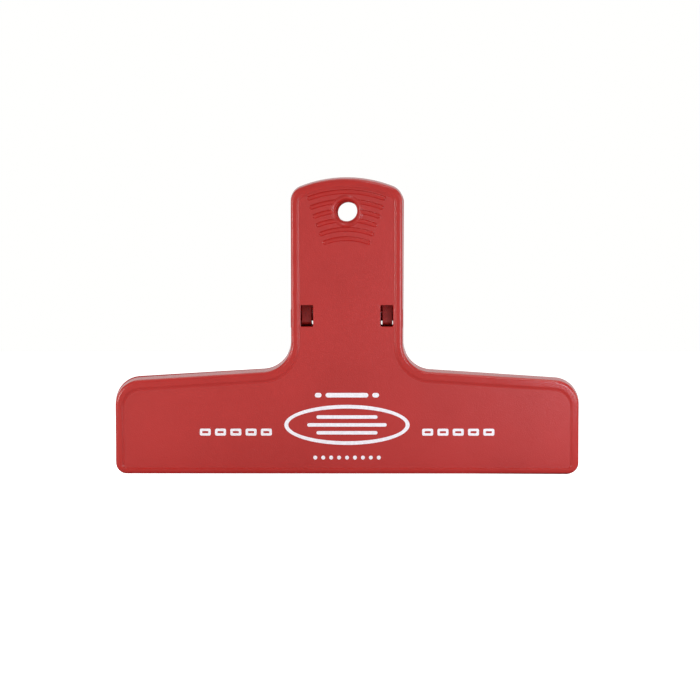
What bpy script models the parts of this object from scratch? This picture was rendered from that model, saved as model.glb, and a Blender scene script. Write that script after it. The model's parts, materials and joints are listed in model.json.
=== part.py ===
"""Wide plastic spring clip: two T-shaped mouldings that pivot on each other over a bent steel spring.

Metres, +Z up. The closed clip stands on its lips at Z = 0 with the handles up, its width along X and
its thickness along Y. The front half faces -Y. The origin is the middle of the lips at floor level.

Each half is modelled lying flat in its own frame: local X runs along the jaw, local Y from the lip up
to the handle tip, and local Z out of the outer face, so the material has negative Z. An empty then
tilts it into place. The front half's object has its origin on the hinge axis.
"""

import math

import bmesh
import bpy
from mathutils import Matrix, Vector

MM = 0.001

# Overall size and pose
JAW_HALF = 76.0 * MM  # half the width of the jaw
TILT = math.radians(6.5)  # each plate leans away from the middle plane by this much
LIP_HALF = 4.0 * MM  # from the middle plane to the outer face, at the lip
HINGE_Z = 51.9 * MM  # height of the hinge axis when the clip is closed
GAP = 0.3 * MM  # clearance between pieces that touch

# T-shaped outline
HANDLE_HALF = 18.4 * MM
HEAD_RADIUS = 40.8 * MM  # the arched end of the handle
HEAD_CENTRE = 56.6 * MM  # height of that arch's centre
HEAD_CORNER = 5.2 * MM
NECK_RADIUS = 9.3 * MM  # fillet from the handle to the jaw
JAW_TOP = 35.8 * MM  # height of the sloping top edge, carried on to the middle line
JAW_SLOPE = math.radians(3.7)
JAW_SHOULDER = 8.5 * MM  # rounding of the jaw's upper corners
JAW_CORNER = 3.8 * MM  # rounding of the jaw's lower corners

# Shell
WALL = 2.0 * MM
PLATE = 2.4 * MM  # thickness of the plate at the rim
EDGE = 1.0 * MM  # rounding of the outer edge
RIM = 3.0 * MM  # width of the raised rim along the sides
RIM_LIP = 2.0 * MM  # and along the lip
RIM_JAW_TOP = 3.8 * MM  # and along the jaw's sloping edge
RIM_HEAD = 3.4 * MM  # and round the head
RECESS = 0.45 * MM  # depth of the panel inside the rim
BLOCK = 14.0 * MM  # depth of the blank that the shell is cut from
PARTING = 0.6 * MM  # from the skirt's edge to the middle plane
LIP_HEIGHT = 3.2 * MM  # the skirt's lowest stretch, which closes on the other lip
LIP_WALL = 2.4 * MM
HANDLE_SPLAY = math.radians(11.7)  # slope of the skirt's edge above the hinge

# Lip teeth
TOOTH_PITCH = 2.2 * MM
TOOTH_HALF = 0.75 * MM  # half the width of a groove
TOOTH_DEPTH = 0.5 * MM
TOOTH_CLEAR = 0.2 * MM  # how far the groove cutters' widest edges stand outside the lip

# Hanging hole and thumb grip
HOLE_HEIGHT = 86.6 * MM
HOLE_RADIUS = 3.45 * MM
BOSS_RADIUS = 5.2 * MM
BOSS_CREST = 4.4 * MM
GRIP_HEIGHT = 0.4 * MM
GRIP_WIDTH = 1.6 * MM
GRIP_CENTRE = 57.55 * MM  # height of the centre that all the ridges curve about
GRIP_RADIUS = 35.4 * MM  # centre line of the highest ridge
GRIP_PITCH = 3.07 * MM
GRIP_HALF_CHORDS = [12.1 * MM, 11.3 * MM, 10.3 * MM, 9.2 * MM, 8.2 * MM, 7.0 * MM]

# Windows over the pivot, from inner to outer side and from low to high
WINDOW_X = (11.0 * MM, 15.1 * MM)
FRONT_WINDOW_Y = (48.7 * MM, 55.8 * MM)
REAR_WINDOW_Y = (49.3 * MM, 52.6 * MM)

# Pivot
BAR_RADIUS = 1.6 * MM
LUG_RADIUS = 3.0 * MM
INNER_LUG = (9.4 * MM, 10.9 * MM)  # from and to, along X
OUTER_LUG = (15.3 * MM, HANDLE_HALF - 0.05 * MM)
HOOK = (11.6 * MM, 14.8 * MM)
HOOK_BELOW = 3.5 * MM  # from the hinge axis to the hook's low side
HOOK_ABOVE = 4.4 * MM
HOOK_REACH = 5.2 * MM  # from the hinge axis to the face turned to the other half
HOOK_CORNER = 1.2 * MM
HOOK_TIP = math.radians(22)  # the finger stops this far short of pointing at the handle
NOTCH_RADIUS = LUG_RADIUS + 0.4 * MM

# Spring
SPRING_WIDTH = 18.0 * MM
SPRING_THICK = 0.8 * MM
BEND_RADIUS = 4.6 * MM
BEND_Z = 49.6 * MM
LEG_ANGLE = math.radians(10.6)
LEG_LENGTH = 26.0 * MM
CURL_RADIUS = 2.2 * MM
CURL_ANGLE = math.radians(120)

# Inner ribs
GUIDE_HIGH = 80.5 * MM
GUIDE_LOW = 42.0 * MM
GUIDE_HEIGHT = 2.6 * MM
CROSS_RIB = 1.4 * MM
SADDLE_LOW = 42.6 * MM
SADDLE_DEPTH = 6.6 * MM
JAW_RIBS = [29.7 * MM, 53.9 * MM]
JAW_RIB_HEIGHT = 1.0 * MM
JAW_RIB_WIDTH = 1.2 * MM

FLAT_ANGLE = math.radians(0.6)  # faces that meet at less than this are one flat face

RED = (0.456, 0.053, 0.047, 1.0)
STEEL = (0.56, 0.57, 0.58, 1.0)


def clear_scene():
    for ob in list(bpy.data.objects):
        bpy.data.objects.remove(ob, do_unlink=True)


def new_collection(name):
    collection = bpy.data.collections.new(name)
    bpy.context.scene.collection.children.link(collection)
    return collection


def plastic_material():
    material = bpy.data.materials.new("red_plastic")
    material.use_nodes = True
    shader = material.node_tree.nodes["Principled BSDF"]
    shader.inputs["Base Color"].default_value = RED
    shader.inputs["Roughness"].default_value = 0.38
    shader.inputs["Metallic"].default_value = 0.0
    return material


def steel_material():
    material = bpy.data.materials.new("spring_steel")
    material.use_nodes = True
    shader = material.node_tree.nodes["Principled BSDF"]
    shader.inputs["Base Color"].default_value = STEEL
    shader.inputs["Roughness"].default_value = 0.3
    shader.inputs["Metallic"].default_value = 1.0
    return material


# Outline


def arc(centre, radius, start, end, steps):
    """Points along an arc; the angles are in radians."""
    turn = (end - start) / steps
    return [
        (
            centre[0] + radius * math.cos(start + turn * i),
            centre[1] + radius * math.sin(start + turn * i),
        )
        for i in range(steps + 1)
    ]


def clip_outline(inset, lip_inset=None, jaw_top_inset=None, head_inset=None):
    """The T outline moved inwards by inset, as points; the other insets are for edges that differ."""
    low = inset if lip_inset is None else lip_inset
    jaw_drop = 0 if jaw_top_inset is None else (jaw_top_inset - inset) / math.cos(JAW_SLOPE)
    head = HEAD_RADIUS - (inset if head_inset is None else head_inset)
    slope_normal = math.pi / 2 - JAW_SLOPE

    corner = max(JAW_CORNER - inset, 0.4 * MM)
    shoulder = JAW_SHOULDER - inset
    neck = NECK_RADIUS + inset
    head_corner = HEAD_CORNER - inset

    side = JAW_HALF - inset
    handle = HANDLE_HALF - inset
    shoulder_x = JAW_HALF - JAW_SHOULDER
    slope_top = JAW_TOP - jaw_drop
    shoulder_y = slope_top - shoulder_x * math.tan(JAW_SLOPE) - JAW_SHOULDER / math.cos(JAW_SLOPE)
    neck_x = HANDLE_HALF + NECK_RADIUS
    neck_y = slope_top - neck_x * math.tan(JAW_SLOPE) + NECK_RADIUS / math.cos(JAW_SLOPE)
    head_x = HANDLE_HALF - HEAD_CORNER
    head_rise = math.sqrt((head - head_corner) ** 2 - head_x**2)
    head_angle = math.atan2(head_rise, head_x)

    right = arc((side - corner, low + corner), corner, -math.pi / 2, 0, 5)
    right += arc((shoulder_x, shoulder_y), shoulder, 0, slope_normal, 9)
    right += arc((neck_x, neck_y), neck, slope_normal + math.pi, math.pi, 9)
    right += arc((head_x, HEAD_CENTRE + head_rise), head_corner, 0, head_angle, 5)
    right += arc((0, HEAD_CENTRE), head, head_angle, math.pi / 2, 6)[1:]
    left = [(-x, y) for x, y in reversed(right[:-1])]
    return right + left


# Solids, in a half's flat frame unless said otherwise


def mesh_object(name, bm, collection):
    bmesh.ops.recalc_face_normals(bm, faces=bm.faces)
    mesh = bpy.data.meshes.new(name)
    bm.to_mesh(mesh)
    bm.free()
    ob = bpy.data.objects.new(name, mesh)
    collection.objects.link(ob)
    return ob


def extruded(name, outline, low, high, collection):
    """A flat outline as a 2D curve, extruded from local Z low to high and made a mesh."""
    curve = bpy.data.curves.new(name + "_outline", "CURVE")
    curve.dimensions = "2D"
    curve.fill_mode = "BOTH"
    curve.extrude = (high - low) / 2
    spline = curve.splines.new("POLY")
    spline.points.add(len(outline) - 1)
    for point, (x, y) in zip(spline.points, outline):
        point.co = (x, y, 0, 1)
    spline.use_cyclic_u = True
    curve_ob = bpy.data.objects.new(name + "_outline", curve)
    collection.objects.link(curve_ob)
    curve_ob.location.z = (high + low) / 2
    bpy.context.view_layer.update()

    evaluated = curve_ob.evaluated_get(bpy.context.evaluated_depsgraph_get())
    mesh = bpy.data.meshes.new_from_object(evaluated)
    bm = bmesh.new()
    bm.from_mesh(mesh)
    bmesh.ops.remove_doubles(bm, verts=bm.verts, dist=0.00001)
    bmesh.ops.transform(bm, matrix=curve_ob.matrix_world, verts=bm.verts)
    bpy.data.meshes.remove(mesh)
    bpy.data.objects.remove(curve_ob)
    bpy.data.curves.remove(curve)
    return mesh_object(name, bm, collection)


def box(name, low, high, collection):
    bm = bmesh.new()
    bmesh.ops.create_cube(bm, size=1)
    size = [h - l for l, h in zip(low, high)]
    middle = [(h + l) / 2 for l, h in zip(low, high)]
    place = Matrix.Translation(middle) @ Matrix.Diagonal((*size, 1))
    bmesh.ops.transform(bm, matrix=place, verts=bm.verts)
    return mesh_object(name, bm, collection)


def rod_along_x(name, x_from, x_to, y, z, radius, sides, collection):
    bm = bmesh.new()
    bmesh.ops.create_cone(
        bm, cap_ends=True, segments=sides, radius1=radius, radius2=radius, depth=x_to - x_from
    )
    place = Matrix.Translation(((x_from + x_to) / 2, y, z)) @ Matrix.Rotation(math.pi / 2, 4, "Y")
    bmesh.ops.transform(bm, matrix=place, verts=bm.verts)
    return mesh_object(name, bm, collection)


def turned(name, profile, centre, steps, collection):
    """A profile of (radius, height) points turned about local Z through centre."""
    bm = bmesh.new()
    points = [bm.verts.new((r, 0, z)) for r, z in profile]
    for a, b in zip(points, points[1:]):
        bm.edges.new((a, b))
    ob = mesh_object(name, bm, collection)
    ob.location = (*centre, 0)
    screw = ob.modifiers.new("turn", "SCREW")
    screw.steps = steps
    screw.render_steps = steps
    screw.use_merge_vertices = True
    screw.merge_threshold = 0.00001
    return ob


def as_cutter(ob):
    ob.hide_render = True
    ob.display_type = "WIRE"
    return ob


def boolean(target, other, operation):
    """Cut or join, then dissolve the points left in flat faces, which would be slivers in the next cut."""
    modifier = target.modifiers.new(other.name, "BOOLEAN")
    modifier.operation = operation
    modifier.solver = "EXACT"
    modifier.object = as_cutter(other)
    flat = target.modifiers.new(other.name + "_flat", "DECIMATE")
    flat.decimate_type = "DISSOLVE"
    flat.angle_limit = FLAT_ANGLE


def flat_frame(sign):
    """Matrix from a half's flat frame to the world: sign is -1 for the front half, +1 for the rear."""
    stand = Matrix.Rotation(math.pi / 2 + TILT, 4, "X")
    turn = Matrix.Rotation(0 if sign < 0 else math.pi, 4, "Z")
    lip = Matrix.Translation((0, -LIP_HALF, -EDGE * math.sin(TILT)))
    return turn @ lip @ stand


def hinge_in_flat_frame():
    """Local Y and Z of the hinge axis."""
    point = flat_frame(-1).inverted() @ Vector((0, 0, HINGE_Z))
    return point.y, point.z


# Thumb grip and hanging hole


def ridge_outline(radius, start, end):
    """A bent bar with round ends, from one angle to another, about the grip's centre."""
    half = GRIP_WIDTH / 2
    centre = (0, GRIP_CENTRE)
    outer = arc(centre, radius + half, start, end, 8)
    inner = arc(centre, radius - half, end, start, 8)
    far = (radius * math.cos(end), GRIP_CENTRE + radius * math.sin(end))
    near = (radius * math.cos(start), GRIP_CENTRE + radius * math.sin(start))
    cap_far = arc(far, half, end, end + math.pi, 4)[1:-1]
    cap_near = arc(near, half, start + math.pi, start + 2 * math.pi, 4)[1:-1]
    return outer + cap_far + inner + cap_near


def ridge_spans():
    """(radius, start angle, end angle) of each ridge; the ring around the hole splits some in two."""
    keep_off = BOSS_RADIUS + GRIP_WIDTH / 2 + GAP
    drop = HOLE_HEIGHT - GRIP_CENTRE
    for i, half_chord in enumerate(GRIP_HALF_CHORDS):
        radius = GRIP_RADIUS - GRIP_PITCH * i
        reach = math.asin(half_chord / radius)
        if abs(radius - drop) > keep_off:
            yield radius, math.pi / 2 - reach, math.pi / 2 + reach
            continue
        near = math.acos((radius**2 + drop**2 - keep_off**2) / (2 * radius * drop))
        yield radius, math.pi / 2 - reach, math.pi / 2 - near
        yield radius, math.pi / 2 + near, math.pi / 2 + reach


def add_grip(half, cutters):
    for i, (radius, start, end) in enumerate(ridge_spans()):
        outline = ridge_outline(radius, start, end)
        name = f"{half.name}_ridge_{i}"
        ridge = extruded(name, outline, -PLATE / 2, GRIP_HEIGHT - RECESS, cutters)
        boolean(half, ridge, "UNION")


def add_hanging_hole(half, cutters):
    top = 0.1 * MM
    ring_profile = [
        (0, top),
        (BOSS_CREST, top),
        (BOSS_RADIUS, -RECESS),
        (BOSS_RADIUS, -PLATE / 2),
        (0, -PLATE / 2),
    ]
    centre = (0, HOLE_HEIGHT)
    boolean(half, turned(half.name + "_ring", ring_profile, centre, 36, cutters), "UNION")
    funnel = 0.7 * MM
    hole_profile = [
        (0, 2 * MM),
        (HOLE_RADIUS + funnel, 2 * MM),
        (HOLE_RADIUS + funnel, top),
        (HOLE_RADIUS, top - funnel),
        (HOLE_RADIUS, -BLOCK),
        (0, -BLOCK),
    ]
    boolean(half, turned(half.name + "_hole", hole_profile, centre, 36, cutters), "DIFFERENCE")


# Shell


def shell_blank(name, parts, cutters):
    """The T-shaped tray with its rim, before its skirt is trimmed."""
    half = extruded(name, clip_outline(0), -BLOCK, 0, parts)
    edge = half.modifiers.new("outer_edge", "BEVEL")
    edge.width = EDGE
    edge.segments = 3
    edge.limit_method = "ANGLE"
    edge.angle_limit = math.radians(50)
    edge.use_clamp_overlap = False

    inside = clip_outline(WALL, LIP_WALL)
    boolean(half, extruded(name + "_inside", inside, -BLOCK - MM, -PLATE, cutters), "DIFFERENCE")
    panel = clip_outline(RIM, RIM_LIP, RIM_JAW_TOP, RIM_HEAD)
    boolean(half, extruded(name + "_panel", panel, -RECESS, MM, cutters), "DIFFERENCE")
    return half


def trim_outline():
    """What the skirt loses, seen along X in the flat frame: (local Y, local Z) points.

    Its edge follows the middle plane from the lip to the hinge, then slopes back to the handle tip.
    """
    to_flat = flat_frame(-1).inverted()

    def flat(y, z):
        point = to_flat @ Vector((0, y, z))
        return point.y, point.z

    tip_rise = 60 * MM
    tip_back = tip_rise * math.tan(HANDLE_SPLAY)
    return [
        flat(-GAP / 2, -5 * MM),
        flat(-GAP / 2, LIP_HEIGHT),
        flat(-PARTING, LIP_HEIGHT),
        flat(-PARTING, HINGE_Z),
        flat(-PARTING - tip_back, HINGE_Z + tip_rise),
        flat(30 * MM, HINGE_Z + tip_rise),
        flat(30 * MM, -5 * MM),
    ]


def side_profile(name, points, x_from, x_to, collection):
    """(local Y, local Z) points extruded along X."""
    ob = extruded(name, points, x_from, x_to, collection)
    # The outline was drawn in X and Y and extruded along Z: turn Y to Z, X to Y and Z to X.
    ob.data.transform(Matrix(((0, 0, 1, 0), (1, 0, 0, 0), (0, 1, 0, 0), (0, 0, 0, 1))))
    return ob


def trim_skirt(half, cutters):
    width = JAW_HALF + 5 * MM
    trim = side_profile(half.name + "_trim", trim_outline(), -width, width, cutters)
    boolean(half, trim, "DIFFERENCE")


def cut_windows(half, cutters, heights):
    for side in (-1, 1):
        xs = sorted(side * x for x in WINDOW_X)
        low = (xs[0], heights[0], -PLATE - MM)
        high = (xs[1], heights[1], MM)
        boolean(half, box(f"{half.name}_window_{side + 1}", low, high, cutters), "DIFFERENCE")


def cut_teeth(half, cutters, offset):
    """V grooves across the lip's closing edge, joined into one cutter."""
    count = int((JAW_HALF - 2 * JAW_CORNER) / TOOTH_PITCH)
    bm = bmesh.new()
    depth = TOOTH_DEPTH + TOOTH_CLEAR
    half_width = TOOTH_HALF * depth / TOOTH_DEPTH
    middle_y = TOOTH_CLEAR - GAP / 2
    for i in range(-count, count + 1):
        groove = bmesh.ops.create_cone(
            bm, cap_ends=True, segments=4, radius1=1, radius2=1, depth=3 * LIP_HEIGHT
        )
        place = Matrix.Translation((i * TOOTH_PITCH + offset, middle_y, LIP_HEIGHT / 2))
        stretch = Matrix.Diagonal((half_width, depth, 1, 1))
        bmesh.ops.transform(bm, matrix=place @ stretch, verts=groove["verts"])
    bmesh.ops.transform(bm, matrix=flat_frame(-1).inverted(), verts=bm.verts)
    boolean(half, mesh_object(half.name + "_teeth", bm, cutters), "DIFFERENCE")


# Inner ribs


def add_guides(half, cutters):
    """Two long ribs beside the spring, a stop above its tips and a saddle below its bend."""
    inner, outer = INNER_LUG
    root = -PLATE + 0.4 * MM
    for side in (-1, 1):
        xs = sorted((side * (inner + 0.1 * MM), side * (outer - 0.1 * MM)))
        low = (xs[0], GUIDE_LOW, -PLATE - GUIDE_HEIGHT)
        high = (xs[1], GUIDE_HIGH, root)
        boolean(half, box(f"{half.name}_guide_{side + 1}", low, high, cutters), "UNION")
    overlap = inner + 0.5 * MM
    stop_low = (-overlap, GUIDE_HIGH - CROSS_RIB - 0.2 * MM, -PLATE - GUIDE_HEIGHT + 0.3 * MM)
    stop_high = (overlap, GUIDE_HIGH - 0.2 * MM, root)
    boolean(half, box(half.name + "_stop", stop_low, stop_high, cutters), "UNION")
    saddle_low = (-overlap, SADDLE_LOW, -SADDLE_DEPTH)
    saddle_high = (overlap, SADDLE_LOW + CROSS_RIB, root)
    boolean(half, box(half.name + "_saddle", saddle_low, saddle_high, cutters), "UNION")


def add_jaw_ribs(half, cutters):
    for i, x in enumerate([s * x for s in (-1, 1) for x in JAW_RIBS]):
        low = (x - JAW_RIB_WIDTH / 2, LIP_WALL - 0.4 * MM, -PLATE - JAW_RIB_HEIGHT)
        high = (x + JAW_RIB_WIDTH / 2, 31.5 * MM, -PLATE + 0.4 * MM)
        boolean(half, box(f"{half.name}_jaw_rib_{i}", low, high, cutters), "UNION")


# Pivot


def lug_outline(hinge, radius):
    """A tongue from the plate to the hinge axis with a round end, as (local Y, local Z) points."""
    y, z = hinge
    root = -PLATE + 0.4 * MM
    return [(y + radius, root), (y - radius, root)] + arc((y, z), radius, math.pi, 2 * math.pi, 12)


def add_lugs_and_bars(half, cutters, hinge):
    outline = lug_outline(hinge, LUG_RADIUS)
    for side in (-1, 1):
        for label, span in (("inner", INNER_LUG), ("outer", OUTER_LUG)):
            xs = sorted(side * x for x in span)
            name = f"{half.name}_{label}_lug_{side + 1}"
            boolean(half, side_profile(name, outline, *xs, cutters), "UNION")
        xs = sorted((side * (INNER_LUG[1] - 0.5 * MM), side * (OUTER_LUG[0] + 0.5 * MM)))
        name = f"{half.name}_bar_{side + 1}"
        boolean(half, rod_along_x(name, *xs, *hinge, BAR_RADIUS, 24, cutters), "UNION")


def hook_outline(hinge):
    """A square hook with a round bore: its stem passes the bar, its finger turns up over the far side."""
    y, z = hinge
    bore = BAR_RADIUS + GAP
    root = -PLATE + 0.4 * MM
    tip = 2 * math.pi - HOOK_TIP
    face = z - HOOK_REACH + HOOK_CORNER
    outer = arc((y - HOOK_BELOW + HOOK_CORNER, face), HOOK_CORNER, math.pi, 1.5 * math.pi, 4)
    outer += arc((y + HOOK_ABOVE - HOOK_CORNER, face), HOOK_CORNER, 1.5 * math.pi, 2 * math.pi, 4)
    end = (y + HOOK_ABOVE, z - HOOK_ABOVE * math.tan(HOOK_TIP))
    inner = arc((y, z), bore, tip, math.pi, 12)
    return [(y - bore, root), (y - HOOK_BELOW, root)] + outer + [end] + inner


def add_hooks(half, cutters, hinge):
    for side in (-1, 1):
        xs = sorted(side * x for x in HOOK)
        name = f"{half.name}_hook_{side + 1}"
        boolean(half, side_profile(name, hook_outline(hinge), *xs, cutters), "UNION")


def cut_notches(half, cutters, hinge):
    """Room in the skirt for the other half's outer lugs."""
    for side in (-1, 1):
        xs = sorted((side * (OUTER_LUG[0] - GAP), side * (HANDLE_HALF + MM)))
        name = f"{half.name}_notch_{side + 1}"
        boolean(half, rod_along_x(name, *xs, *hinge, NOTCH_RADIUS, 32, cutters), "DIFFERENCE")


# The three pieces


def build_half(name, sign, parts, cutters):
    hinge = hinge_in_flat_frame()
    half = shell_blank(name, parts, cutters)
    trim_skirt(half, cutters)
    add_guides(half, cutters)
    add_jaw_ribs(half, cutters)
    if sign > 0:
        cut_notches(half, cutters, hinge)
        add_hooks(half, cutters, hinge)
    else:
        add_lugs_and_bars(half, cutters, hinge)
    add_grip(half, cutters)
    add_hanging_hole(half, cutters)
    cut_windows(half, cutters, REAR_WINDOW_Y if sign > 0 else FRONT_WINDOW_Y)
    cut_teeth(half, cutters, TOOTH_PITCH / 2 if sign > 0 else 0)
    return half


def spring_path():
    """Middle line of the steel strip in the YZ plane, from the front tip round the bend to the rear."""
    bend = arc((0, BEND_Z), BEND_RADIUS, -math.pi / 2, -LEG_ANGLE, 8)
    leg_start = bend[-1]
    along = (math.sin(LEG_ANGLE), math.cos(LEG_ANGLE))
    leg_end = (leg_start[0] + along[0] * LEG_LENGTH, leg_start[1] + along[1] * LEG_LENGTH)
    inward = (-along[1], along[0])
    curl_centre = (leg_end[0] + inward[0] * CURL_RADIUS, leg_end[1] + inward[1] * CURL_RADIUS)
    curl = arc(curl_centre, CURL_RADIUS, -LEG_ANGLE, -LEG_ANGLE + CURL_ANGLE, 7)
    rear = bend + curl
    front = [(-y, z) for y, z in reversed(rear[1:])]
    return front + rear


def build_spring(parts):
    bm = bmesh.new()
    points = [bm.verts.new((-SPRING_WIDTH / 2, y, z)) for y, z in spring_path()]
    edges = [bm.edges.new(pair) for pair in zip(points, points[1:])]
    grown = bmesh.ops.extrude_edge_only(bm, edges=edges)["geom"]
    moved = [v for v in grown if isinstance(v, bmesh.types.BMVert)]
    bmesh.ops.translate(bm, verts=moved, vec=(SPRING_WIDTH, 0, 0))
    spring = mesh_object("spring", bm, parts)
    solidify = spring.modifiers.new("strip", "SOLIDIFY")
    solidify.thickness = SPRING_THICK
    solidify.offset = 0
    solidify.use_even_offset = True
    return spring


def pose_half(half, sign, parts, cutters):
    """Put the half and its cutters in the world: an empty on the hinge axis holds the tilted frame."""
    hinge = bpy.data.objects.new(half.name + "_hinge", None)
    frame = bpy.data.objects.new(half.name + "_frame", None)
    for empty in (hinge, frame):
        cutters.objects.link(empty)
    hinge.location.z = HINGE_Z
    frame.parent = hinge
    frame.matrix_local = Matrix.Translation((0, 0, -HINGE_Z)) @ flat_frame(sign)
    for ob in [half] + [m.object for m in half.modifiers if m.type == "BOOLEAN"]:
        ob.parent = frame


def main():
    clear_scene()
    parts = new_collection("binder_clip")
    cutters = new_collection("cutters")
    plastic = plastic_material()
    steel = steel_material()
    for name, sign in (("front_half", -1), ("rear_half", 1)):
        half = build_half(name, sign, parts, cutters)
        half.data.materials.append(plastic)
        pose_half(half, sign, parts, cutters)
    spring = build_spring(parts)
    spring.data.materials.append(steel)


main()
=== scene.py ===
import json
import math

import bmesh
import bpy
from mathutils import Matrix, Vector
from mathutils.geometry import delaunay_2d_cdt


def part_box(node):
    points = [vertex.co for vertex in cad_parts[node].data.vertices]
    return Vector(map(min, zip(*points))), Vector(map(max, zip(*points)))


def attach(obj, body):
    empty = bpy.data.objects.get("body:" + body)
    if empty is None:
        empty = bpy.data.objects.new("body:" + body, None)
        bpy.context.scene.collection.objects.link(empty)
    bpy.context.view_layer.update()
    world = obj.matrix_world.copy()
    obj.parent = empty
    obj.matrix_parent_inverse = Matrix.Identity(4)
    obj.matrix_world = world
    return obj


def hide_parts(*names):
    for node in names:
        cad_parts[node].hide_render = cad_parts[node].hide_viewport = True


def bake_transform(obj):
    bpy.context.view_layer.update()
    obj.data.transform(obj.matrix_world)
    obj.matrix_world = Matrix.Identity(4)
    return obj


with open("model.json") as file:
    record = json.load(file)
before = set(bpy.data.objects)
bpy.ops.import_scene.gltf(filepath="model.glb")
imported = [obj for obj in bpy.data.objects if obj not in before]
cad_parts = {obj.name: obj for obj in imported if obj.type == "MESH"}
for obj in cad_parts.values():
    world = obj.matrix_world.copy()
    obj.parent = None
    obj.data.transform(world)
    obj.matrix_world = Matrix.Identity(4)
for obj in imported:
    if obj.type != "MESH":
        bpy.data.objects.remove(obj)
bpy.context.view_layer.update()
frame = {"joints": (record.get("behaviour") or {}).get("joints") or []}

# The two mouldings are modelled lying flat, in millimetres: X along the jaw, Y from the lip up to the
# handle tip and Z out of the outer face. flat_frame() stands them up in the row frame.
MM = 0.001

# Dimensions shared with the CAD model
JAW_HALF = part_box("front_half")[1][0] / MM
HINGE_Z = frame["joints"][0]["pos_m"][2] / MM
TILT = math.radians(6.5)
LIP_HALF = 4.0
GAP = 0.3
HANDLE_HALF = 18.4
HEAD_RADIUS = 40.8
HEAD_CENTRE = 56.6
HEAD_CORNER = 5.2
NECK_RADIUS = 9.3
JAW_TOP = 35.8
JAW_SLOPE = math.radians(3.7)
JAW_SHOULDER = 8.5
JAW_CORNER = 3.8
WALL = 2.0
PLATE = 2.4
EDGE = 1.0
RECESS = 0.45
PARTING = 0.6
LIP_HEIGHT = 3.2
HANDLE_SPLAY = math.radians(11.7)
TOOTH_PITCH = 2.2
TOOTH_DEPTH = 0.5
TOOTH_HALF_WIDTH = 0.75
TOOTH_LENGTH = 9.6
TOOTH_CLEARANCE = 0.2  # how far the cutter starts outside the lip
HOLE_HEIGHT = 86.6
HOLE_RADIUS = 3.45
GRIP_CENTRE = 57.55
GRIP_RADIUS = 35.4
GRIP_PITCH = 3.07
GRIP_HALF_CHORDS = [12.1, 11.3, 10.3, 9.2, 8.2, 7.0]
WINDOW_X = (11.0, 15.1)
FRONT_WINDOW_Y = (48.7, 55.8)
REAR_WINDOW_Y = (49.3, 52.6)
BAR_RADIUS = 1.6
LUG_RADIUS = 3.0
INNER_LUG = (9.4, 10.9)
OUTER_LUG = (15.3, HANDLE_HALF - 0.05)
HOOK = (11.6, 14.8)
HOOK_BELOW = 3.5
HOOK_ABOVE = 4.4
HOOK_REACH = 5.2
HOOK_CORNER = 1.2
HOOK_TIP = math.radians(22)
NOTCH_RADIUS = LUG_RADIUS + 0.4
GUIDE_HIGH = 80.5
GUIDE_LOW = 42.0
GUIDE_HEIGHT = 2.6
CROSS_RIB = 1.4
SADDLE_LOW = 42.6
SADDLE_DEPTH = 6.6
JAW_RIBS = [29.7, 53.9]
JAW_RIB_HEIGHT = 1.0
JAW_RIB_WIDTH = 1.2
SPRING_WIDTH = 18.0
SPRING_THICK = 0.8
BEND_RADIUS = 4.6
BEND_Z = 49.6
LEG_ANGLE = math.radians(10.6)
LEG_LENGTH = 26.0
CURL_RADIUS = 2.2
CURL_ANGLE = math.radians(120)

# Surface detail of the mouldings
DRAFT = math.tan(math.radians(2.0))  # the skirt widens towards its free edge
DRAFT_DEPTH = 7.5  # where the skirt has the outline's own size
SKIRT_EDGE = 0.3  # rounding of the skirt's free edge
RIM_START = 1.3  # inset at which the rim is flat
INNER_FILLET = 0.6
# How far inside the outline the panel starts: along the sides, the lip, the jaw's slope and the head
PANEL_INSETS = (3.1, 2.3, 3.9, 3.5)
RIDGE_FLAT = 0.34  # half the flat top of a ridge
RIDGE_FOOT = 0.86  # half its width where it meets the panel
RIDGE_HEIGHT = 0.5
RING_FOOT = 5.35
RING_SHOULDER = 4.95
RING_CREST = 4.65
RING_HEIGHT = 0.42
FUNNEL_DEPTH = 0.75  # below the panel
SOFT_EDGE = 0.12  # rounding of small edges
INK_THICK = 0.035
PLAY = math.radians(0.3)  # the rear half sits this far askew in the hinge's play

PANEL, SMOOTH = 0, 1  # material indices on a moulding


def smoothstep(low, high, value):
    t = min(max((value - low) / (high - low), 0.0), 1.0)
    return t * t * (3 - 2 * t)


def arc(centre, radius, start, end, steps):
    turn = (end - start) / steps
    return [
        (
            centre[0] + radius * math.cos(start + turn * i),
            centre[1] + radius * math.sin(start + turn * i),
        )
        for i in range(steps + 1)
    ]


def between(a, b, steps):
    """Points strictly between a and b."""
    return [
        (a[0] + (b[0] - a[0]) * i / steps, a[1] + (b[1] - a[1]) * i / steps)
        for i in range(1, steps)
    ]


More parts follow.
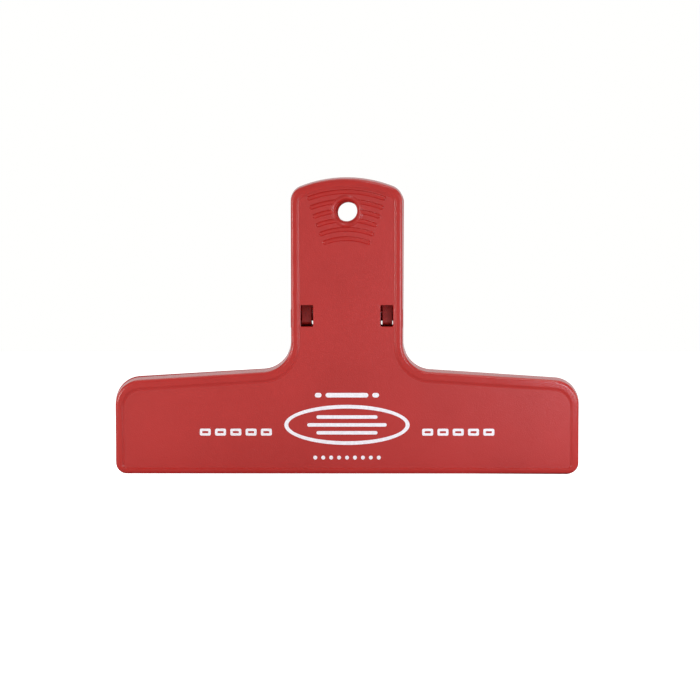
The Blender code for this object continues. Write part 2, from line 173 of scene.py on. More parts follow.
def clip_outline(inset, lip=None, jaw_top=None, head=None):
    """The T outline moved inwards by inset, counterclockwise from the middle of the lip.

    The other insets are for edges that differ. The point count is always the same.
    """
    lip = inset if lip is None else lip
    drop = 0 if jaw_top is None else (jaw_top - inset) / math.cos(JAW_SLOPE)
    head_arch = HEAD_RADIUS - (inset if head is None else head)
    slope_top = JAW_TOP - drop
    slope_normal = math.pi / 2 - JAW_SLOPE
    shoulder_x = JAW_HALF - JAW_SHOULDER
    shoulder_y = slope_top - shoulder_x * math.tan(JAW_SLOPE) - JAW_SHOULDER / math.cos(JAW_SLOPE)
    neck_x = HANDLE_HALF + NECK_RADIUS
    neck_y = slope_top - neck_x * math.tan(JAW_SLOPE) + NECK_RADIUS / math.cos(JAW_SLOPE)
    head_corner = HEAD_CORNER - inset
    head_x = HANDLE_HALF - HEAD_CORNER
    head_rise = math.sqrt((head_arch - head_corner) ** 2 - head_x**2)
    head_angle = math.atan2(head_rise, head_x)

    corner = JAW_CORNER - inset
    corner = arc((JAW_HALF - JAW_CORNER, lip + corner), corner, -math.pi / 2, 0, 12)
    shoulder = arc((shoulder_x, shoulder_y), JAW_SHOULDER - inset, 0, slope_normal, 20)
    neck = arc((neck_x, neck_y), NECK_RADIUS + inset, slope_normal + math.pi, math.pi, 22)
    tip = arc((head_x, HEAD_CENTRE + head_rise), head_corner, 0, head_angle, 12)
    head = arc((0, HEAD_CENTRE), head_arch, head_angle, math.pi / 2, 18)

    right = [(0, lip)] + between((0, lip), corner[0], 24) + corner
    right += between(corner[-1], shoulder[0], 10) + shoulder
    right += between(shoulder[-1], neck[0], 18) + neck
    right += between(neck[-1], tip[0], 26) + tip + head[1:]
    return right + [(-x, y) for x, y in reversed(right[1:-1])]


OUTLINE = clip_outline(0)
INWARD = [(b[0] - a[0], b[1] - a[1]) for a, b in zip(OUTLINE, clip_outline(1))]
PANEL_OUTLINE = clip_outline(*PANEL_INSETS)


def inset_point(i, inset):
    """Each outline point moves in a straight line as the inset grows."""
    return OUTLINE[i][0] + INWARD[i][0] * inset, OUTLINE[i][1] + INWARD[i][1] * inset


def rim_point(i, part):
    """A point on the straight line from the top of the edge rounding to the panel's outline."""
    start, end = inset_point(i, RIM_START), PANEL_OUTLINE[i]
    return start[0] + (end[0] - start[0]) * part, start[1] + (end[1] - start[1]) * part


def flat_frame(sign):
    """Matrix from the flat millimetre frame to the row frame: sign is -1 for the front, +1 for the rear."""
    stand = Matrix.Rotation(math.pi / 2 + TILT, 4, "X")
    turn = Matrix.Rotation(0 if sign < 0 else math.pi, 4, "Z")
    lip = Matrix.Translation((0, -LIP_HALF, -EDGE * math.sin(TILT)))
    return Matrix.Scale(MM, 4) @ turn @ lip @ stand


def hinge_in_flat_frame():
    point = flat_frame(-1).inverted() @ Vector((0, 0, HINGE_Z * MM))
    return point.y, point.z


def skirt_depth(y):
    """How far below the outer face the skirt's free edge lies, at a height y up the plate."""
    lean, rise = math.sin(TILT), math.cos(TILT)
    height = y * rise - EDGE * lean
    stop = GAP / 2 if height < LIP_HEIGHT - 0.5 else PARTING
    to_middle = (LIP_HALF + y * lean - stop) / rise
    splay = math.tan(HANDLE_SPLAY)
    above = LIP_HALF + y * lean - PARTING - splay * (height - HINGE_Z)
    return min(to_middle, above / (rise + splay * lean))


def drafted(z):
    return DRAFT * (DRAFT_DEPTH + z)


# Relief of the outer panel


def ridge_spans():
    """(radius, start angle, end angle) of each thumb ridge about the grip's centre."""
    drop = HOLE_HEIGHT - GRIP_CENTRE
    reach_in = RING_SHOULDER
    for i, half_chord in enumerate(GRIP_HALF_CHORDS):
        radius = GRIP_RADIUS - GRIP_PITCH * i
        reach = math.asin(half_chord / radius)
        if abs(radius - drop) > RING_FOOT - 0.3:
            yield radius, math.pi / 2 - reach, math.pi / 2 + reach
            continue
        near = math.acos((radius**2 + drop**2 - reach_in**2) / (2 * radius * drop))
        yield radius, math.pi / 2 - reach, math.pi / 2 - near
        yield radius, math.pi / 2 + near, math.pi / 2 + reach


RIDGES = list(ridge_spans())


def ridge_distance(x, y, ridge):
    radius, start, end = ridge
    angle = math.atan2(y - GRIP_CENTRE, x)
    if start < angle < end:
        return abs(math.hypot(x, y - GRIP_CENTRE) - radius)
    tips = [(radius * math.cos(a), GRIP_CENTRE + radius * math.sin(a)) for a in (start, end)]
    return min(math.hypot(x - tx, y - ty) for tx, ty in tips)


def relief(x, y):
    """Height above the recessed panel."""
    from_hole = math.hypot(x, y - HOLE_HEIGHT)
    if from_hole < RING_CREST:
        climb = (from_hole - HOLE_RADIUS) / (RING_CREST - HOLE_RADIUS)
        return (RING_HEIGHT + FUNNEL_DEPTH) * math.sin(max(climb, 0) * math.pi / 2) - FUNNEL_DEPTH
    ring = RING_HEIGHT * (1 - smoothstep(RING_CREST, RING_FOOT, from_hole))
    nearest = min(ridge_distance(x, y, ridge) for ridge in RIDGES)
    return max(ring, RIDGE_HEIGHT * (1 - smoothstep(RIDGE_FLAT, RIDGE_FOOT, nearest)))


def ridge_loop(ridge, half_width):
    """A bent bar with round ends, half_width from the ridge's middle line."""
    radius, start, end = ridge
    steps = max(6, int((end - start) * radius / 0.8))
    centre = (0, GRIP_CENTRE)
    far = (radius * math.cos(end), GRIP_CENTRE + radius * math.sin(end))
    near = (radius * math.cos(start), GRIP_CENTRE + radius * math.sin(start))
    loop = arc(centre, radius + half_width, start, end, steps)
    loop += arc(far, half_width, end, end + math.pi, 8)[1:-1]
    loop += arc(centre, radius - half_width, end, start, steps)
    loop += arc(near, half_width, start + math.pi, start + 2 * math.pi, 8)[1:-1]
    return loop


def circle(radius, steps=72):
    return arc((0, HOLE_HEIGHT), radius, 0, 2 * math.pi, steps)[:-1]


def window_loop(side, heights, grow):
    """A window's outline with its corners rounded, grown outwards by grow."""
    low_x, high_x = sorted(side * x for x in WINDOW_X)
    radius = 0.35 + grow
    corners = [
        (high_x - 0.35, heights[1] - 0.35, 0),
        (low_x + 0.35, heights[1] - 0.35, math.pi / 2),
        (low_x + 0.35, heights[0] + 0.35, math.pi),
        (high_x - 0.35, heights[0] + 0.35, 3 * math.pi / 2),
    ]
    loop = []
    for x, y, turn in corners:
        loop += arc((x, y), radius, turn, turn + math.pi / 2, 5)
    return loop


def inside(x, y, loop):
    found = False
    for (ax, ay), (bx, by) in zip(loop, loop[1:] + loop[:1]):
        if (ay > y) != (by > y) and x < ax + (bx - ax) * (y - ay) / (by - ay):
            found = not found
    return found


def fill(bm, border, holes, guides, spacing, height_at, material_at):
    """A triangulated sheet inside border and outside holes; guides are loops that its edges follow."""
    points, edges = [], []
    for loop in [border] + holes + guides:
        first = len(points)
        points += [Vector(p) for p in loop]
        edges += [(first + i, first + (i + 1) % len(loop)) for i in range(len(loop))]
    low_x, high_x = min(p[0] for p in border), max(p[0] for p in border)
    low_y, high_y = min(p[1] for p in border), max(p[1] for p in border)
    fixed = list(points)
    for i in range(1, int((high_x - low_x) / spacing)):
        for j in range(1, int((high_y - low_y) / spacing)):
            spot = Vector((low_x + (i + 0.5 * (j % 2)) * spacing, low_y + j * spacing))
            if inside(spot.x, spot.y, border) and min((spot - p).length for p in fixed) > 0.6 * spacing:
                points.append(spot)
    verts, _, faces, *_ = delaunay_2d_cdt(points, edges, [], 0, 1e-6)
    made = [bm.verts.new((v.x, v.y, height_at(v.x, v.y))) for v in verts]
    for face in faces:
        x = sum(verts[i].x for i in face) / len(face)
        y = sum(verts[i].y for i in face) / len(face)
        if inside(x, y, border) and not any(inside(x, y, hole) for hole in holes):
            bm.faces.new([made[i] for i in face]).material_index = material_at(x, y)


def bridge(bm, rows, material):
    """Quads between closed rows of points of equal length."""
    made = [[bm.verts.new(p) for p in row] for row in rows]
    for upper, lower in zip(made, made[1:]):
        for i in range(len(upper)):
            j = (i + 1) % len(upper)
            bm.faces.new((upper[i], upper[j], lower[j], lower[i])).material_index = material


# The moulded shell


# (part of the way from the edge rounding to the panel, height) down the step inside the rim
PANEL_STEP = [(0.48, 0.0), (0.51, -0.004), (0.535, -0.02), (0.56, -0.048), (0.65, -0.165), (0.74, -0.283)]
PANEL_STEP += [(0.83, -0.4), (0.86, -0.428), (0.89, -0.442), (0.94, -0.449), (1, -RECESS)]


def edge_rounding():
    """(inset, height) from the flat of the rim round the outer edge to the skirt."""
    profile = [(RIM_START, 0.0)]
    outer = drafted(-EDGE)
    for i in range(9):
        a = math.radians(78 - 78 * i / 8)
        profile.append((outer + EDGE * (1 - math.cos(a)), EDGE * (math.sin(a) - 1)))
    return profile


def shell_rows():
    around = range(len(OUTLINE))
    rows = [[(*rim_point(i, part), z) for i in around] for part, z in reversed(PANEL_STEP)]
    rows += [[(*inset_point(i, inset), z) for i in around] for inset, z in edge_rounding()]
    steps = 6
    for step in range(1, steps + 1):
        row = []
        for i, (_, y) in enumerate(OUTLINE):
            end = -skirt_depth(y) + SKIRT_EDGE
            z = -EDGE + (end + EDGE) * step / steps
            row.append((*inset_point(i, drafted(z)), z))
        rows.append(row)
    inner = WALL + 0.05
    for a in (30, 60, 90):
        rows.append(skirt_edge_row(a, 1, lambda z: drafted(z)))
    for a in (90, 60, 30, 0):
        rows.append(skirt_edge_row(a, -1, lambda z: inner))
    top = -PLATE - INNER_FILLET
    for step in (1, 2, 3):
        row = []
        for i in range(len(OUTLINE)):
            x, y = inset_point(i, inner)
            start = -skirt_depth(y) + SKIRT_EDGE
            row.append((x, y, start + (top - start) * step / 3))
        rows.append(row)
    for a in (22.5, 45, 67.5, 90):
        a = math.radians(a)
        inset = inner + INNER_FILLET * (1 - math.cos(a))
        z = top + INNER_FILLET * math.sin(a)
        rows.append([(*inset_point(i, inset), z) for i in range(len(OUTLINE))])
    return rows


def skirt_edge_row(degrees, side, wall_inset):
    """One row round the rounding of the skirt's free edge; side is 1 outside and -1 inside."""
    a = math.radians(degrees)
    row = []
    for i, (_, y) in enumerate(OUTLINE):
        inset = wall_inset(-skirt_depth(y)) + side * SKIRT_EDGE * (1 - math.cos(a))
        x, y = inset_point(i, inset)
        row.append((x, y, -skirt_depth(y) + SKIRT_EDGE * (1 - math.sin(a))))
    return row


def build_shell(name, window_heights, materials):
    bm = bmesh.new()
    rows = shell_rows()
    bridge(bm, rows, SMOOTH)

    sides = (-1, 1)
    ring_radii = [3.6, 3.8, 4.05, 4.35, RING_CREST, 4.8, RING_SHOULDER, 5.15, RING_FOOT]
    guides = [circle(r) for r in ring_radii]
    for ridge in RIDGES:
        steps = range(9)
        widths = [RIDGE_FLAT + (RIDGE_FOOT - RIDGE_FLAT) * step / 8 for step in steps]
        guides += [ridge_loop(ridge, width) for width in widths]
    border = [(x, y) for x, y, _ in rows[0]]
    holes = [circle(HOLE_RADIUS)]
    holes += [window_loop(side, window_heights, SOFT_EDGE) for side in sides]

    def panel_height(x, y):
        return relief(x, y) - RECESS

    def panel_material(x, y):
        return SMOOTH if y > HEAD_CENTRE and abs(relief(x, y)) > 0.01 else PANEL

    fill(bm, border, holes, guides, 3.0, panel_height, panel_material)

    border = [(x, y) for x, y, _ in rows[-1]]
    holes = [circle(HOLE_RADIUS + SOFT_EDGE)]
    holes += [window_loop(side, window_heights, 0) for side in sides]
    fill(bm, border, holes, [], 4.0, lambda x, y: -PLATE, lambda x, y: SMOOTH)

    walls = [(circle(HOLE_RADIUS), -RECESS - FUNNEL_DEPTH), (circle(HOLE_RADIUS), SOFT_EDGE - PLATE)]
    walls.append((circle(HOLE_RADIUS + SOFT_EDGE), -PLATE))
    bridge(bm, [[(x, y, z) for x, y in loop] for loop, z in walls], SMOOTH)
    for side in sides:
        walls = [(window_loop(side, window_heights, SOFT_EDGE), -RECESS)]
        walls.append((window_loop(side, window_heights, 0.3 * SOFT_EDGE), -RECESS - 0.3 * SOFT_EDGE))
        walls.append((window_loop(side, window_heights, 0), -RECESS - SOFT_EDGE))
        walls.append((window_loop(side, window_heights, 0), -PLATE))
        bridge(bm, [[(x, y, z) for x, y in loop] for loop, z in walls], SMOOTH)

    bmesh.ops.remove_doubles(bm, verts=bm.verts, dist=0.0005)
    return finish_mesh(name, bm, materials)


def finish_mesh(name, bm, materials):
    bmesh.ops.recalc_face_normals(bm, faces=bm.faces)
    mesh = bpy.data.meshes.new(name)
    bm.to_mesh(mesh)
    bm.free()
    for material in materials:
        mesh.materials.append(material)
    ob = bpy.data.objects.new(name, mesh)
    bpy.context.scene.collection.objects.link(ob)
    return ob


# Inner ribs and pivot, as bevelled solids


def bevel_all(bm, width):
    """Rounds the edges that are sharper than the arcs of an outline."""
    sharp = [e for e in bm.edges if e.calc_face_angle(0) > math.radians(35)]
    bmesh.ops.bevel(bm, geom=sharp, offset=width, segments=2, affect="EDGES", profile=0.5)


def prism(points, x_from, x_to, materials, bevel=SOFT_EDGE):
    """(Y, Z) points extruded along X."""
    bm = bmesh.new()
    face = bm.faces.new([bm.verts.new((x_from, y, z)) for y, z in points])
    grown = bmesh.ops.extrude_face_region(bm, geom=[face])["geom"]
    moved = [v for v in grown if isinstance(v, bmesh.types.BMVert)]
    bmesh.ops.translate(bm, verts=moved, vec=(x_to - x_from, 0, 0))
    bmesh.ops.recalc_face_normals(bm, faces=bm.faces)
    if bevel:
        bevel_all(bm, bevel)
    for face in bm.faces:
        face.material_index = PANEL
    return finish_mesh("solid", bm, materials)


def block(low, high, materials, bevel=SOFT_EDGE):
    outline = [(low[1], low[2]), (high[1], low[2]), (high[1], high[2]), (low[1], high[2])]
    return prism(outline, low[0], high[0], materials, bevel)


def tongue(hinge, radius):
    y, z = hinge
    root = -PLATE + 0.4
    return [(y + radius, root), (y - radius, root)] + arc((y, z), radius, math.pi, 2 * math.pi, 24)


def hook_outline(hinge):
    """A stem on the bar's low side and a square finger round its far side, closed by the round bore."""
    y, z = hinge
    bore = BAR_RADIUS + GAP
    root = -PLATE + 0.4
    tip = 2 * math.pi - HOOK_TIP
    face = z - HOOK_REACH + HOOK_CORNER
    outer = arc((y - HOOK_BELOW + HOOK_CORNER, face), HOOK_CORNER, math.pi, 1.5 * math.pi, 8)
    outer += arc((y + HOOK_ABOVE - HOOK_CORNER, face), HOOK_CORNER, 1.5 * math.pi, 2 * math.pi, 8)
    end = (y + HOOK_ABOVE, z - HOOK_ABOVE * math.tan(HOOK_TIP))
    inner = arc((y, z), bore, tip, math.pi, 22)
    return [(y - bore, root), (y - HOOK_BELOW, root)] + outer + [end] + inner


def inner_solids(sign, materials):
    """What stands on the inside of a half's plate, in an order in which each solid meets the last ones."""
    hinge = hinge_in_flat_frame()
    inner, outer = INNER_LUG
    root = -PLATE + 0.4
    solids = []
    for side in (-1, 1):
        xs = sorted((side * (inner + 0.1), side * (outer - 0.1)))
        low, high = (xs[0], GUIDE_LOW, -PLATE - GUIDE_HEIGHT), (xs[1], GUIDE_HIGH, root)
        solids.append(block(low, high, materials))
    overlap = inner + 0.5
    low = (-overlap, GUIDE_HIGH - CROSS_RIB - 0.2, -PLATE - GUIDE_HEIGHT + 0.3)
    solids.append(block(low, (overlap, GUIDE_HIGH - 0.2, root), materials))
    low = (-overlap, SADDLE_LOW, -SADDLE_DEPTH)
    solids.append(block(low, (overlap, SADDLE_LOW + CROSS_RIB, root), materials))
    for x in [side * x for side in (-1, 1) for x in JAW_RIBS]:
        low = (x - JAW_RIB_WIDTH / 2, WALL - 0.3, -PLATE - JAW_RIB_HEIGHT)
        solids.append(block(low, (x + JAW_RIB_WIDTH / 2, 31.5, root), materials))
    for side in (-1, 1):
        if sign > 0:
            xs = sorted(side * x for x in HOOK)
            solids.append(prism(hook_outline(hinge), *xs, materials, 0.2))
            continue
        for span in (INNER_LUG, OUTER_LUG):
            xs = sorted(side * x for x in span)
            solids.append(prism(tongue(hinge, LUG_RADIUS), *xs, materials))
        xs = sorted((side * (inner + 0.5), side * (OUTER_LUG[0] + 0.5)))
        bar = arc(hinge, BAR_RADIUS, 0, 2 * math.pi, 40)[:-1]
        solids.append(prism(bar, *xs, materials, 0))
    return solids


def cuts(sign, materials):
    """Lip teeth and, on the rear half, room for the front half's lugs."""
    solids = []
    offset = TOOTH_PITCH / 2 if sign > 0 else 0
    count = int((JAW_HALF - 2 * JAW_CORNER) / TOOTH_PITCH)
    to_flat = flat_frame(-1).inverted() @ Matrix.Scale(MM, 4)
    reach = TOOTH_DEPTH + TOOTH_CLEARANCE
    half_width = TOOTH_HALF_WIDTH * reach / TOOTH_DEPTH
    bm = bmesh.new()
    for i in range(-count, count + 1):
        groove = bmesh.ops.create_cone(
            bm, cap_ends=True, segments=4, radius1=1, radius2=1, depth=TOOTH_LENGTH
        )
        middle = (i * TOOTH_PITCH + offset, TOOTH_CLEARANCE - GAP / 2, LIP_HEIGHT / 2)
        place = Matrix.Translation(middle)
        stretch = Matrix.Diagonal((half_width, reach, 1, 1))
        bmesh.ops.transform(bm, matrix=to_flat @ place @ stretch, verts=groove["verts"])
    for face in bm.faces:
        face.material_index = SMOOTH
    solids.append(finish_mesh("teeth", bm, materials))
    if sign > 0:
        notch = arc(hinge_in_flat_frame(), NOTCH_RADIUS, 0, 2 * math.pi, 64)[:-1]
        for side in (-1, 1):
            xs = sorted((side * (OUTER_LUG[0] - GAP), side * (HANDLE_HALF + 1)))
            solids.append(prism(notch, *xs, materials, 0))
    return solids


def combine(target, others, operation):
    """Boolean each of others into target's mesh and remove it."""
    for other in others:
        modifier = target.modifiers.new("combine", "BOOLEAN")
        modifier.operation = operation
        modifier.solver = "EXACT"
        modifier.object = other
        evaluated = target.evaluated_get(bpy.context.evaluated_depsgraph_get())
        mesh = bpy.data.meshes.new_from_object(evaluated)
        target.modifiers.clear()
        old = target.data
        target.data = mesh
        bpy.data.meshes.remove(old)
        bpy.data.objects.remove(other, do_unlink=True)
    return target


def sit_askew(ob, angle):
    """Turns a mesh about the hinge's middle in the plane of the lips, within the pivot's play."""
    centre = Matrix.Translation((0, 0, HINGE_Z * MM))
    ob.data.transform(centre @ Matrix.Rotation(angle, 4, "Y") @ centre.inverted())


def build_half(name, sign, window_heights, materials):
    shell = build_shell(name, window_heights, materials)
    solids = inner_solids(sign, materials)
    ribs = combine(solids[0], solids[1:], "UNION")
    combine(shell, [ribs], "UNION")
    combine(shell, cuts(sign, materials), "DIFFERENCE")
    shell.data.transform(flat_frame(sign))
    shell.data.shade_smooth()
    shell.data.set_sharp_from_angle(angle=math.radians(34))
    normals = shell.modifiers.new("normals", "WEIGHTED_NORMAL")
    normals.keep_sharp = True
    return shell


# Print on the front panel


def rounded_bar(x, y, width, height, radius=None):
    """Outline of a bar centred on x, y."""
    radius = min(width, height) / 2 if radius is None else radius
    loop = []
    for sx, sy, turn in ((1, 1, 0), (-1, 1, 1), (-1, -1, 2), (1, -1, 3)):
        centre = (x + sx * (width / 2 - radius), y + sy * (height / 2 - radius))
        loop += arc(centre, radius, turn * math.pi / 2, (turn + 1) * math.pi / 2, 6)
    return loop


def oval(x, y, half_width, half_height, steps=96):
    return [
        (x + half_width * math.cos(t), y + half_height * math.sin(t))
        for t in (2 * math.pi * i / steps for i in range(steps))
    ]


def ink(bm, outer, hole=None):
    """A thin flat patch of ink on the panel, as a closed solid, with or without a hole."""
    top, bottom = -RECESS + INK_THICK, -RECESS - INK_THICK
    if hole:
        rows = [(outer, top), (outer, bottom), (hole, bottom), (hole, top), (outer, top)]
        bridge(bm, [[(x, y, z) for x, y in loop] for loop, z in rows], 0)
        return
    ends = [bm.verts.new((x, y, top)) for x, y in outer]
    bm.faces.new(ends)
    under = [bm.verts.new((x, y, bottom)) for x, y in outer]
    bm.faces.new(list(reversed(under)))
    for i in range(len(outer)):
        j = (i + 1) % len(outer)
        bm.faces.new((ends[j], ends[i], under[i], under[j]))


def build_print(material):
    """Plain geometric marks: an oval with three lines, and rows of bars and dots."""
    bm = bmesh.new()
    dots_y, boxes_y, oval_y, bar_y = 5.6, 14.0, 16.4, 26.2
    pitch = 2.6  # of the oval's lines and of the dots
    ink(bm, oval(0, oval_y, 20.5, 6.6), oval(0, oval_y, 19.2, 5.4))
    for i, width in enumerate((20.0, 26.0, 20.0)):
        ink(bm, rounded_bar(0, oval_y + pitch * (1 - i), width, 1.15))
    for i in range(9):
        ink(bm, rounded_bar(pitch * (i - 4), dots_y, 1.3, 1.3))
    ink(bm, rounded_bar(0, bar_y, 14.0, 1.5))
    for side in (-1, 1):
        ink(bm, rounded_bar(side * 9.4, bar_y, 2.2, 1.5))
        for i in range(5):
            x = side * 36.4 + 5.0 * (i - 2)
            box = rounded_bar(x, boxes_y, 3.6, 2.3, 0.5)
            ink(bm, box, rounded_bar(x, boxes_y, 2.0, 0.7, 0.2))
    bmesh.ops.remove_doubles(bm, verts=bm.verts, dist=0.0001)
    printed = finish_mesh("front_print", bm, [material])
    printed.data.transform(flat_frame(-1))
    return printed


# Spring


def spring_path():
    """Middle line of the strip in the YZ plane, in millimetres, from the front tip to the rear."""
    bend = arc((0, BEND_Z), BEND_RADIUS, -math.pi / 2, -LEG_ANGLE, 24)
    along = (math.sin(LEG_ANGLE), math.cos(LEG_ANGLE))
    end = (bend[-1][0] + along[0] * LEG_LENGTH, bend[-1][1] + along[1] * LEG_LENGTH)
    curl_centre = (end[0] - along[1] * CURL_RADIUS, end[1] + along[0] * CURL_RADIUS)
    curl = arc(curl_centre, CURL_RADIUS, -LEG_ANGLE, -LEG_ANGLE + CURL_ANGLE, 20)
    rear = bend + between(bend[-1], end, 26) + curl
    return [(-y, z) for y, z in reversed(rear[1:])] + rear


def build_spring(material):
    """The strip with rounded edges: a rounded rectangle swept along the path."""
    path = spring_path()
    half = SPRING_THICK / 2
    section = rounded_bar(0, 0, SPRING_WIDTH, SPRING_THICK, 0.28)
    bm = bmesh.new()
    rows = []
    for i, (y, z) in enumerate(path):
        before, after = path[max(i - 1, 0)], path[min(i + 1, len(path) - 1)]
        run = Vector((after[0] - before[0], after[1] - before[1])).normalized()
        rows.append([(x, y - run.y * d, z + run.x * d) for x, d in section])
    bridge(bm, rows, 0)
    for row in (rows[0], rows[-1]):
        bm.faces.new([bm.verts.new(p) for p in row])
    bmesh.ops.remove_doubles(bm, verts=bm.verts, dist=half / 1000)
    spring = finish_mesh("spring_strip", bm, [material])
    spring.data.transform(Matrix.Scale(MM, 4))
    spring.data.shade_smooth()
    spring.data.set_sharp_from_angle(angle=math.radians(50))
    return spring


# Materials


def new_material(name):
    material = bpy.data.materials.new(name)
    material.use_nodes = True
    return material, material.node_tree.nodes, material.node_tree.links


def noise(nodes, links, scale, detail, stretch=None):
    """Noise in the object's own metres; stretch scales its three axes."""
    place = nodes.new("ShaderNodeTexCoord")
    texture = nodes.new("ShaderNodeTexNoise")
    texture.inputs["Scale"].default_value = scale
    texture.inputs["Detail"].default_value = detail
    if stretch:
        mapping = nodes.new("ShaderNodeMapping")
        mapping.inputs["Scale"].default_value = stretch
        links.new(place.outputs["Object"], mapping.inputs["Vector"])
        links.new(mapping.outputs["Vector"], texture.inputs["Vector"])
    else:
        links.new(place.outputs["Object"], texture.inputs["Vector"])
    return texture.outputs["Fac"]


def spread(nodes, links, value, low, high, from_low=0.35, from_high=0.65):
    """Maps a noise value to a range of numbers."""
    node = nodes.new("ShaderNodeMapRange")
    node.inputs["From Min"].default_value = from_low
    node.inputs["From Max"].default_value = from_high
    node.inputs["To Min"].default_value = low
    node.inputs["To Max"].default_value = high
    links.new(value, node.inputs["Value"])
    return node.outputs["Result"]


def colours(nodes, links, value, low, high, from_low=0.35, from_high=0.65):
    ramp = nodes.new("ShaderNodeValToRGB")
    ramp.color_ramp.elements[0].position = from_low
    ramp.color_ramp.elements[0].color = (*low, 1)
    ramp.color_ramp.elements[1].position = from_high
    ramp.color_ramp.elements[1].color = (*high, 1)
    links.new(value, ramp.inputs["Fac"])
    return ramp.outputs["Color"]


def bump(nodes, links, shader, height, strength, distance, under=None):
    node = nodes.new("ShaderNodeBump")
    node.inputs["Strength"].default_value = strength
    node.inputs["Distance"].default_value = distance
    links.new(height, node.inputs["Height"])
    if under:
        links.new(under, node.inputs["Normal"])
    links.new(node.outputs["Normal"], shader.inputs["Normal"])
    return node.outputs["Normal"]


RED_DEEP = (0.42, 0.016, 0.012)
RED_LIGHT = (0.455, 0.019, 0.015)


def panel_plastic():
    """Red plastic with the fine spark-eroded grain of the recessed panels."""
    material, nodes, links = new_material("red_grained_plastic")
    shader = nodes["Principled BSDF"]
    cloud = noise(nodes, links, 45, 3)
    links.new(colours(nodes, links, cloud, RED_DEEP, RED_LIGHT), shader.inputs["Base Color"])
    fine = noise(nodes, links, 900, 2)
    links.new(spread(nodes, links, fine, 0.4, 0.48), shader.inputs["Roughness"])
    grain = noise(nodes, links, 3000, 2)
    wave = noise(nodes, links, 90, 1)
    under = bump(nodes, links, shader, wave, 0.15, 0.0002)
    bump(nodes, links, shader, grain, 0.8, 0.00007, under)
    return material


def smooth_plastic():
    """Red plastic as it leaves a polished tool: rims, ridges and skirts."""
    material, nodes, links = new_material("red_smooth_plastic")
    shader = nodes["Principled BSDF"]
    cloud = noise(nodes, links, 45, 3)
    links.new(colours(nodes, links, cloud, RED_DEEP, RED_LIGHT), shader.inputs["Base Color"])
    handling = noise(nodes, links, 700, 3)
    links.new(spread(nodes, links, handling, 0.19, 0.26), shader.inputs["Roughness"])
    flow = noise(nodes, links, 900, 2)
    bump(nodes, links, shader, flow, 0.1, 0.00002)
    return material


def ink_material():
    material, nodes, links = new_material("white_ink")
    shader = nodes["Principled BSDF"]
    patchy = noise(nodes, links, 1400, 3)
    shade = colours(nodes, links, patchy, (0.84, 0.8, 0.84), (0.93, 0.9, 0.93))
    links.new(shade, shader.inputs["Base Color"])
    links.new(spread(nodes, links, patchy, 0.45, 0.6), shader.inputs["Roughness"])
    return material


def steel_material():
    """Cold-rolled spring steel with fine lines along the strip."""
    material, nodes, links = new_material("rolled_steel")
    shader = nodes["Principled BSDF"]
    shader.inputs["Metallic"].default_value = 1.0
    rolled = noise(nodes, links, 60, 4, (60, 1, 1))
    shade = colours(nodes, links, rolled, (0.54, 0.55, 0.57), (0.62, 0.63, 0.64))
    links.new(shade, shader.inputs["Base Color"])
    links.new(spread(nodes, links, rolled, 0.22, 0.36), shader.inputs["Roughness"])
    bump(nodes, links, shader, rolled, 0.05, 0.00002)
    return material


# Stage

FLOOR_Z = -0.45  # the rear lip's low corner hangs just under the row frame's zero
FLOOR_GLOW = 0.85
FLOOR_BOUNCE = 0.7
WORLD_LIGHT = 0.47


MIDDLE = (0, 0, 0.04)  # what most lights aim at
WHITE = (1, 1, 1)
# name, place, target, size of the square in metres, watts, colour
LIGHTS = [
    ("front_left", (-0.62, -1.35, 0.12), MIDDLE, 0.2, 1, WHITE),
    ("front_right", (0.62, -1.35, 0.08), MIDDLE, 0.2, 1, WHITE),
    ("sheen", (0.095, -0.15, 0.025), (0.07, 0, 0.02), 0.045, 0.056, (0.68, 0.84, 1)),
    ("right", (0.19, -0.15, 0.03), MIDDLE, 0.06, 0.065, (0.95, 0.97, 1)),
    ("left", (-0.19, -0.15, 0.03), MIDDLE, 0.06, 0.125, (1, 0.98, 0.95)),
    ("top_front", (0.15, -0.5, 0.55), MIDDLE, 0.14, 0.5, WHITE),
    ("top", (0.1, 0.1, 0.8), MIDDLE, 0.8, 2, WHITE),
    ("back", (0, 0.8, 0.38), MIDDLE, 0.8, 0.6, WHITE),
    ("side_left", (-0.8, -0.1, 0.12), MIDDLE, 0.6, 1.5, WHITE),
    ("side_right", (0.8, -0.1, 0.12), MIDDLE, 0.6, 1.5, WHITE),
]


def camera_mix(nodes, links, lighting, seen, output):
    """Joins two shaders: one for the light they give, one for how the camera sees them."""
    path = nodes.new("ShaderNodeLightPath")
    mix = nodes.new("ShaderNodeMixShader")
    links.new(path.outputs["Is Camera Ray"], mix.inputs["Fac"])
    links.new(lighting, mix.inputs[1])
    links.new(seen, mix.inputs[2])
    links.new(mix.outputs["Shader"], output)


def build_floor():
    """A white sweep that lights the clip from below less than its brightness in the picture suggests."""
    bm = bmesh.new()
    bmesh.ops.create_grid(bm, x_segments=8, y_segments=8, size=6)
    material, nodes, links = new_material("pale_floor")
    seen = nodes["Principled BSDF"]
    seen.inputs["Base Color"].default_value = (0.9, 0.9, 0.9, 1)
    seen.inputs["Roughness"].default_value = 0.9
    seen.inputs["Emission Color"].default_value = (1, 1, 1, 1)
    seen.inputs["Emission Strength"].default_value = FLOOR_GLOW
    dim = nodes.new("ShaderNodeBsdfDiffuse")
    dim.inputs["Color"].default_value = (FLOOR_BOUNCE, FLOOR_BOUNCE, FLOOR_BOUNCE, 1)
    output = nodes["Material Output"].inputs["Surface"]
    camera_mix(nodes, links, dim.outputs["BSDF"], seen.outputs["BSDF"], output)
    floor = finish_mesh("floor", bm, [material])
    floor.location.z = FLOOR_Z * MM


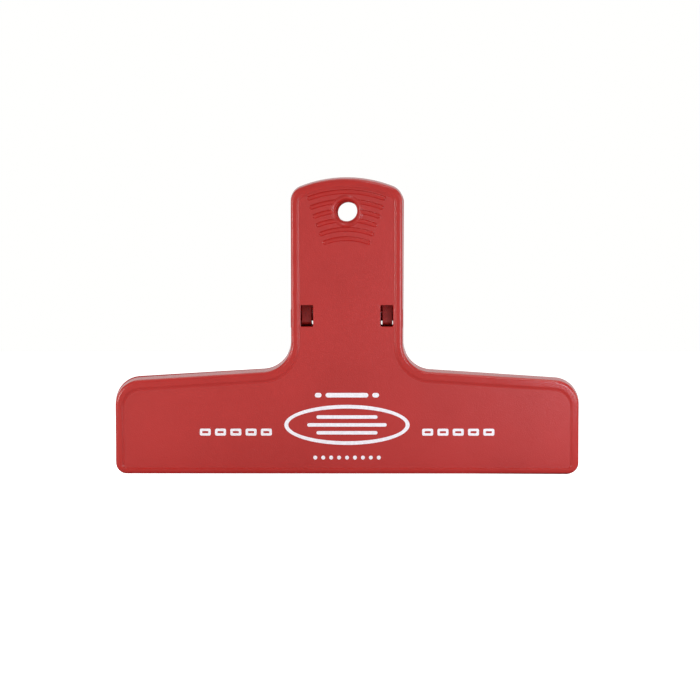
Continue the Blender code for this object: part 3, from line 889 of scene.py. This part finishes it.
def build_world():
    """Even white surroundings, dimmer in the lighting than they look behind the clip."""
    world = bpy.data.worlds.new("studio")
    bpy.context.scene.world = world
    world.use_nodes = True
    nodes, links = world.node_tree.nodes, world.node_tree.links
    back = nodes["Background"]
    back.inputs["Color"].default_value = (0.98, 0.99, 1, 1)
    back.inputs["Strength"].default_value = WORLD_LIGHT
    seen = nodes.new("ShaderNodeBackground")
    seen.inputs["Color"].default_value = (1, 1, 0.99, 1)
    seen.inputs["Strength"].default_value = 1.0
    output = nodes["World Output"].inputs["Surface"]
    camera_mix(nodes, links, back.outputs["Background"], seen.outputs["Background"], output)


def area_light(name, place, target, size, power, colour):
    light = bpy.data.lights.new(name, "AREA")
    light.shape = "SQUARE"
    light.size = size
    light.energy = power
    light.color = colour
    ob = bpy.data.objects.new(name, light)
    ob.location = place
    ob.visible_camera = False
    aim = Vector(target) - Vector(place)
    ob.rotation_euler = aim.to_track_quat("-Z", "Y").to_euler()
    bpy.context.scene.collection.objects.link(ob)


def floor_spot(place, radius, power, colour):
    """A lamp straight above the floor whose pool of light the plastic reflects."""
    light = bpy.data.lights.new("floor_pool", "SPOT")
    light.energy = power
    light.color = colour
    light.spot_size = 2 * math.atan(radius / place[2])
    light.spot_blend = 0.6
    light.shadow_soft_size = 0.02
    ob = bpy.data.objects.new("floor_pool", light)
    ob.location = place
    bpy.context.scene.collection.objects.link(ob)


def build_camera():
    """A long lens a little to the right of the clip and a little above its middle."""
    camera = bpy.data.cameras.new("camera")
    camera.sensor_width = 36
    distance = 1.5
    view_width = 0.2298
    camera.lens = camera.sensor_width * distance / view_width
    camera.clip_end = 50
    ob = bpy.data.objects.new("camera", camera)
    target = Vector((0.0009, 0, 0.0407))
    ob.location = (0.026, -distance, 0.05)
    ob.rotation_euler = (target - ob.location).to_track_quat("-Z", "Y").to_euler()
    bpy.context.scene.collection.objects.link(ob)
    bpy.context.scene.camera = ob


def main():
    plastics = [panel_plastic(), smooth_plastic()]
    front = build_half("front_moulding", -1, FRONT_WINDOW_Y, plastics)
    rear = build_half("rear_moulding", 1, REAR_WINDOW_Y, plastics)
    sit_askew(rear, PLAY)
    printed = build_print(ink_material())
    spring = build_spring(steel_material())

    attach(front, "front")
    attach(printed, "front")
    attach(rear, "rear")
    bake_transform(spring)
    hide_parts("front_half")
    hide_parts("rear_half")
    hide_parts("spring")

    build_floor()
    build_world()
    for light in LIGHTS:
        area_light(*light)
    floor_spot((0.17, -0.2, 0.5), 0.13, 8, (0.85, 0.93, 1))
    build_camera()
    bpy.context.scene.view_settings.view_transform = "Standard"


main()
